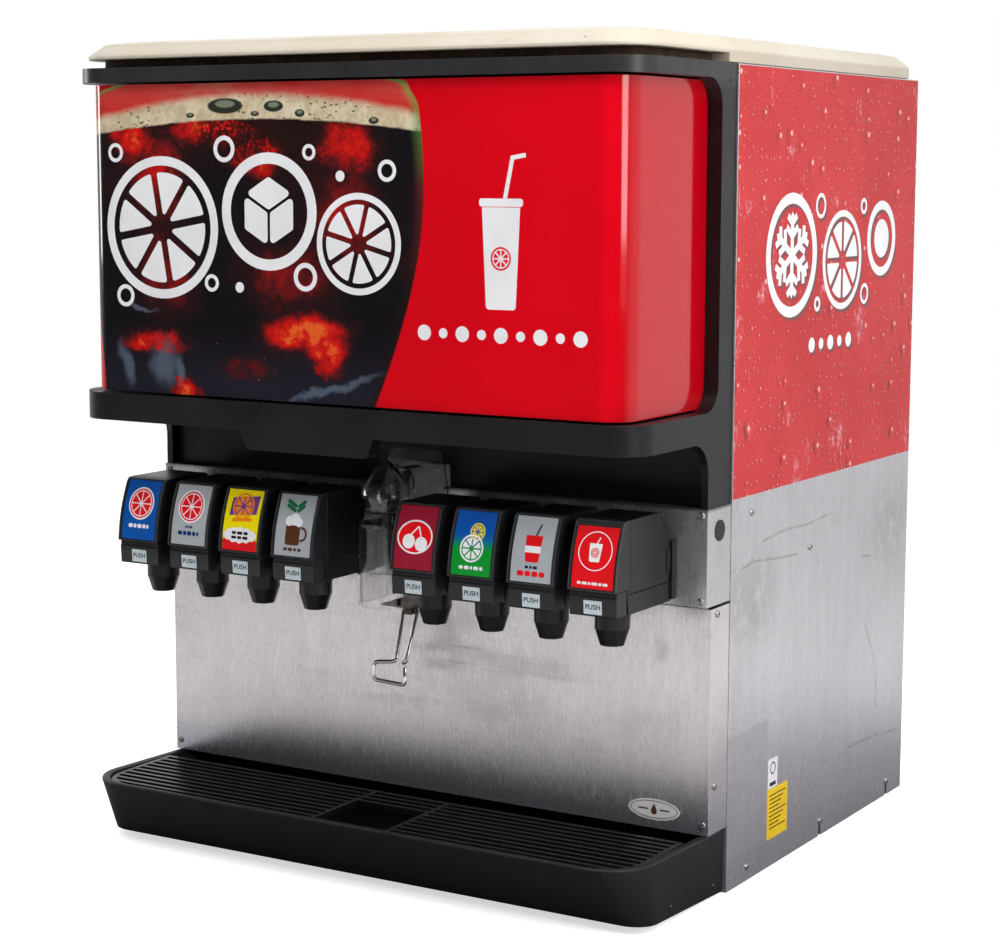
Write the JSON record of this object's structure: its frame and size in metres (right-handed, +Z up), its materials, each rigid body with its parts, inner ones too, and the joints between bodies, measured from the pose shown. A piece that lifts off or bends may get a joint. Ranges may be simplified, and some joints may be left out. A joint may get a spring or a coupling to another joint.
{
  "type": "fountain soda dispenser",
  "caption": "Counter-top ice and drinks dispenser: steel cabinet, lit merchandiser, push-button valves, ice chute with wire lever, lift-off lid and a drip tray with a cup grid.",
  "frame": {"origin": "middle of the whole object's footprint, on the counter", "axes": "+X to the customer's right, +Y from the customer towards the back, +Z up"},
  "size_m": [0.762, 0.773, 0.97],
  "materials": {
    "stainless_steel": "brushed",
    "galvanised_steel": "matte",
    "cast_aluminium": "satin",
    "brass_plate": "satin",
    "black_plastic": "satin",
    "cream_plastic": "satin",
    "white_plastic": "satin",
    "clear_plastic": "gloss",
    "graphic_sheet": "gloss",
    "foam": "matte",
    "lamp_glass": "satin"
  },
  "bodies": {
    "cabinet": {"left_side_panel": "stainless_steel", "right_side_panel": "stainless_steel", "base_pan": "galvanised_steel", "rear_panel": "stainless_steel", "cable_gland": "black_plastic", "electrical_box": "galvanised_steel", "ice_hopper": "white_plastic", "hopper_gasket": "foam", "cold_plate": "cast_aluminium", "gear_motor": "cast_aluminium", "product_manifold": "stainless_steel", "lid_rest_strip": "foam", "merchandiser_frame": "black_plastic", "graphic_panel": "graphic_sheet", "lamp_reflector": "white_plastic", "lamp_tube": "lamp_glass", "valve_panel": "stainless_steel", "hole_plug": "black_plastic", "splash_panel": "stainless_steel", "drip_tray": "black_plastic", "drain_pipe": "white_plastic", "ice_chute": "clear_plastic", "lever_bracket": "brass_plate", "valve_1_block": "black_plastic", "valve_1_cover": "black_plastic", "valve_2_block": "black_plastic", "valve_2_cover": "black_plastic", "valve_3_block": "black_plastic", "valve_3_cover": "black_plastic", "valve_4_block": "black_plastic", "valve_4_cover": "black_plastic", "valve_5_block": "black_plastic", "valve_5_cover": "black_plastic", "valve_6_block": "black_plastic", "valve_6_cover": "black_plastic", "valve_7_block": "black_plastic", "valve_7_cover": "black_plastic", "valve_8_block": "black_plastic", "valve_8_cover": "black_plastic"},
    "lid": {"lid": "cream_plastic"},
    "cup_grid": {"cup_grid": "black_plastic"},
    "agitator": {"agitator": "stainless_steel"},
    "ice_gate": {"ice_gate": "white_plastic"},
    "ice_lever": {"ice_lever": "stainless_steel"},
    "valve_1_button": {"valve_1_button": "black_plastic"},
    "valve_1_nozzle": {"valve_1_nozzle": "black_plastic"},
    "valve_2_button": {"valve_2_button": "black_plastic"},
    "valve_2_nozzle": {"valve_2_nozzle": "black_plastic"},
    "valve_3_button": {"valve_3_button": "black_plastic"},
    "valve_3_nozzle": {"valve_3_nozzle": "black_plastic"},
    "valve_4_button": {"valve_4_button": "black_plastic"},
    "valve_4_nozzle": {"valve_4_nozzle": "black_plastic"},
    "valve_5_button": {"valve_5_button": "black_plastic"},
    "valve_5_nozzle": {"valve_5_nozzle": "black_plastic"},
    "valve_6_button": {"valve_6_button": "black_plastic"},
    "valve_6_nozzle": {"valve_6_nozzle": "black_plastic"},
    "valve_7_button": {"valve_7_button": "black_plastic"},
    "valve_7_nozzle": {"valve_7_nozzle": "black_plastic"},
    "valve_8_button": {"valve_8_button": "black_plastic"},
    "valve_8_nozzle": {"valve_8_nozzle": "black_plastic"}
  },
  "joints": [
    {"name": "lid_lift", "type": "slide", "parent": "cabinet", "child": "lid", "axis": [0, 0, 1], "range_m": [0, 0.3]},
    {"name": "cup_grid_lift", "type": "slide", "parent": "cabinet", "child": "cup_grid", "axis": [0, 0, 1], "range_m": [0, 0.1]},
    {"name": "ice_lever_swing", "type": "hinge", "parent": "cabinet", "child": "ice_lever", "pos_m": [0, -0.2295, 0.304], "axis": [1, 0, 0], "range_deg": [0, 12], "stiffness_Nm_per_rad": 0.5, "springref_deg": -8.59},
    {"name": "ice_gate_lift", "type": "slide", "parent": "cabinet", "child": "ice_gate", "axis": [0, 0, 1], "range_m": [0, 0.0655]},
    {"name": "agitator_spin", "type": "hinge", "parent": "cabinet", "child": "agitator", "pos_m": [0, 0.07925, 0.62], "axis": [0, 1, 0], "continuous": true},
    {"name": "valve_1_press", "type": "hinge", "parent": "cabinet", "child": "valve_1_button", "pos_m": [-0.3116, -0.3295, 0.3725], "axis": [1, 0, 0], "range_deg": [0, 6], "stiffness_Nm_per_rad": 0.5, "springref_deg": -5.73},
    {"name": "valve_1_nozzle_twist", "type": "hinge", "parent": "cabinet", "child": "valve_1_nozzle", "pos_m": [-0.3116, -0.3045, 0.3465], "axis": [0, 0, 1], "range_deg": [0, 90]},
    {"name": "valve_2_press", "type": "hinge", "parent": "cabinet", "child": "valve_2_button", "pos_m": [-0.2354, -0.3295, 0.3725], "axis": [1, 0, 0], "range_deg": [0, 6], "stiffness_Nm_per_rad": 0.5, "springref_deg": -5.73},
    {"name": "valve_2_nozzle_twist", "type": "hinge", "parent": "cabinet", "child": "valve_2_nozzle", "pos_m": [-0.2354, -0.3045, 0.3465], "axis": [0, 0, 1], "range_deg": [0, 90]},
    {"name": "valve_3_press", "type": "hinge", "parent": "cabinet", "child": "valve_3_button", "pos_m": [-0.1592, -0.3295, 0.3725], "axis": [1, 0, 0], "range_deg": [0, 6], "stiffness_Nm_per_rad": 0.5, "springref_deg": -5.73},
    {"name": "valve_3_nozzle_twist", "type": "hinge", "parent": "cabinet", "child": "valve_3_nozzle", "pos_m": [-0.1592, -0.3045, 0.3465], "axis": [0, 0, 1], "range_deg": [0, 90]},
    {"name": "valve_4_press", "type": "hinge", "parent": "cabinet", "child": "valve_4_button", "pos_m": [-0.083, -0.3295, 0.3725], "axis": [1, 0, 0], "range_deg": [0, 6], "stiffness_Nm_per_rad": 0.5, "springref_deg": -5.73},
    {"name": "valve_4_nozzle_twist", "type": "hinge", "parent": "cabinet", "child": "valve_4_nozzle", "pos_m": [-0.083, -0.3045, 0.3465], "axis": [0, 0, 1], "range_deg": [0, 90]},
    {"name": "valve_5_press", "type": "hinge", "parent": "cabinet", "child": "valve_5_button", "pos_m": [0.083, -0.3295, 0.3725], "axis": [1, 0, 0], "range_deg": [0, 6], "stiffness_Nm_per_rad": 0.5, "springref_deg": -5.73},
    {"name": "valve_5_nozzle_twist", "type": "hinge", "parent": "cabinet", "child": "valve_5_nozzle", "pos_m": [0.083, -0.3045, 0.3465], "axis": [0, 0, 1], "range_deg": [0, 90]},
    {"name": "valve_6_press", "type": "hinge", "parent": "cabinet", "child": "valve_6_button", "pos_m": [0.1592, -0.3295, 0.3725], "axis": [1, 0, 0], "range_deg": [0, 6], "stiffness_Nm_per_rad": 0.5, "springref_deg": -5.73},
    {"name": "valve_6_nozzle_twist", "type": "hinge", "parent": "cabinet", "child": "valve_6_nozzle", "pos_m": [0.1592, -0.3045, 0.3465], "axis": [0, 0, 1], "range_deg": [0, 90]},
    {"name": "valve_7_press", "type": "hinge", "parent": "cabinet", "child": "valve_7_button", "pos_m": [0.2354, -0.3295, 0.3725], "axis": [1, 0, 0], "range_deg": [0, 6], "stiffness_Nm_per_rad": 0.5, "springref_deg": -5.73},
    {"name": "valve_7_nozzle_twist", "type": "hinge", "parent": "cabinet", "child": "valve_7_nozzle", "pos_m": [0.2354, -0.3045, 0.3465], "axis": [0, 0, 1], "range_deg": [0, 90]},
    {"name": "valve_8_press", "type": "hinge", "parent": "cabinet", "child": "valve_8_button", "pos_m": [0.3116, -0.3295, 0.3725], "axis": [1, 0, 0], "range_deg": [0, 6], "stiffness_Nm_per_rad": 0.5, "springref_deg": -5.73},
    {"name": "valve_8_nozzle_twist", "type": "hinge", "parent": "cabinet", "child": "valve_8_nozzle", "pos_m": [0.3116, -0.3045, 0.3465], "axis": [0, 0, 1], "range_deg": [0, 90]}
  ],
  "couplings": [
    {"joint": "ice_gate_lift", "follows": "ice_lever_swing", "m_per_rad": 0.31}
  ]
}
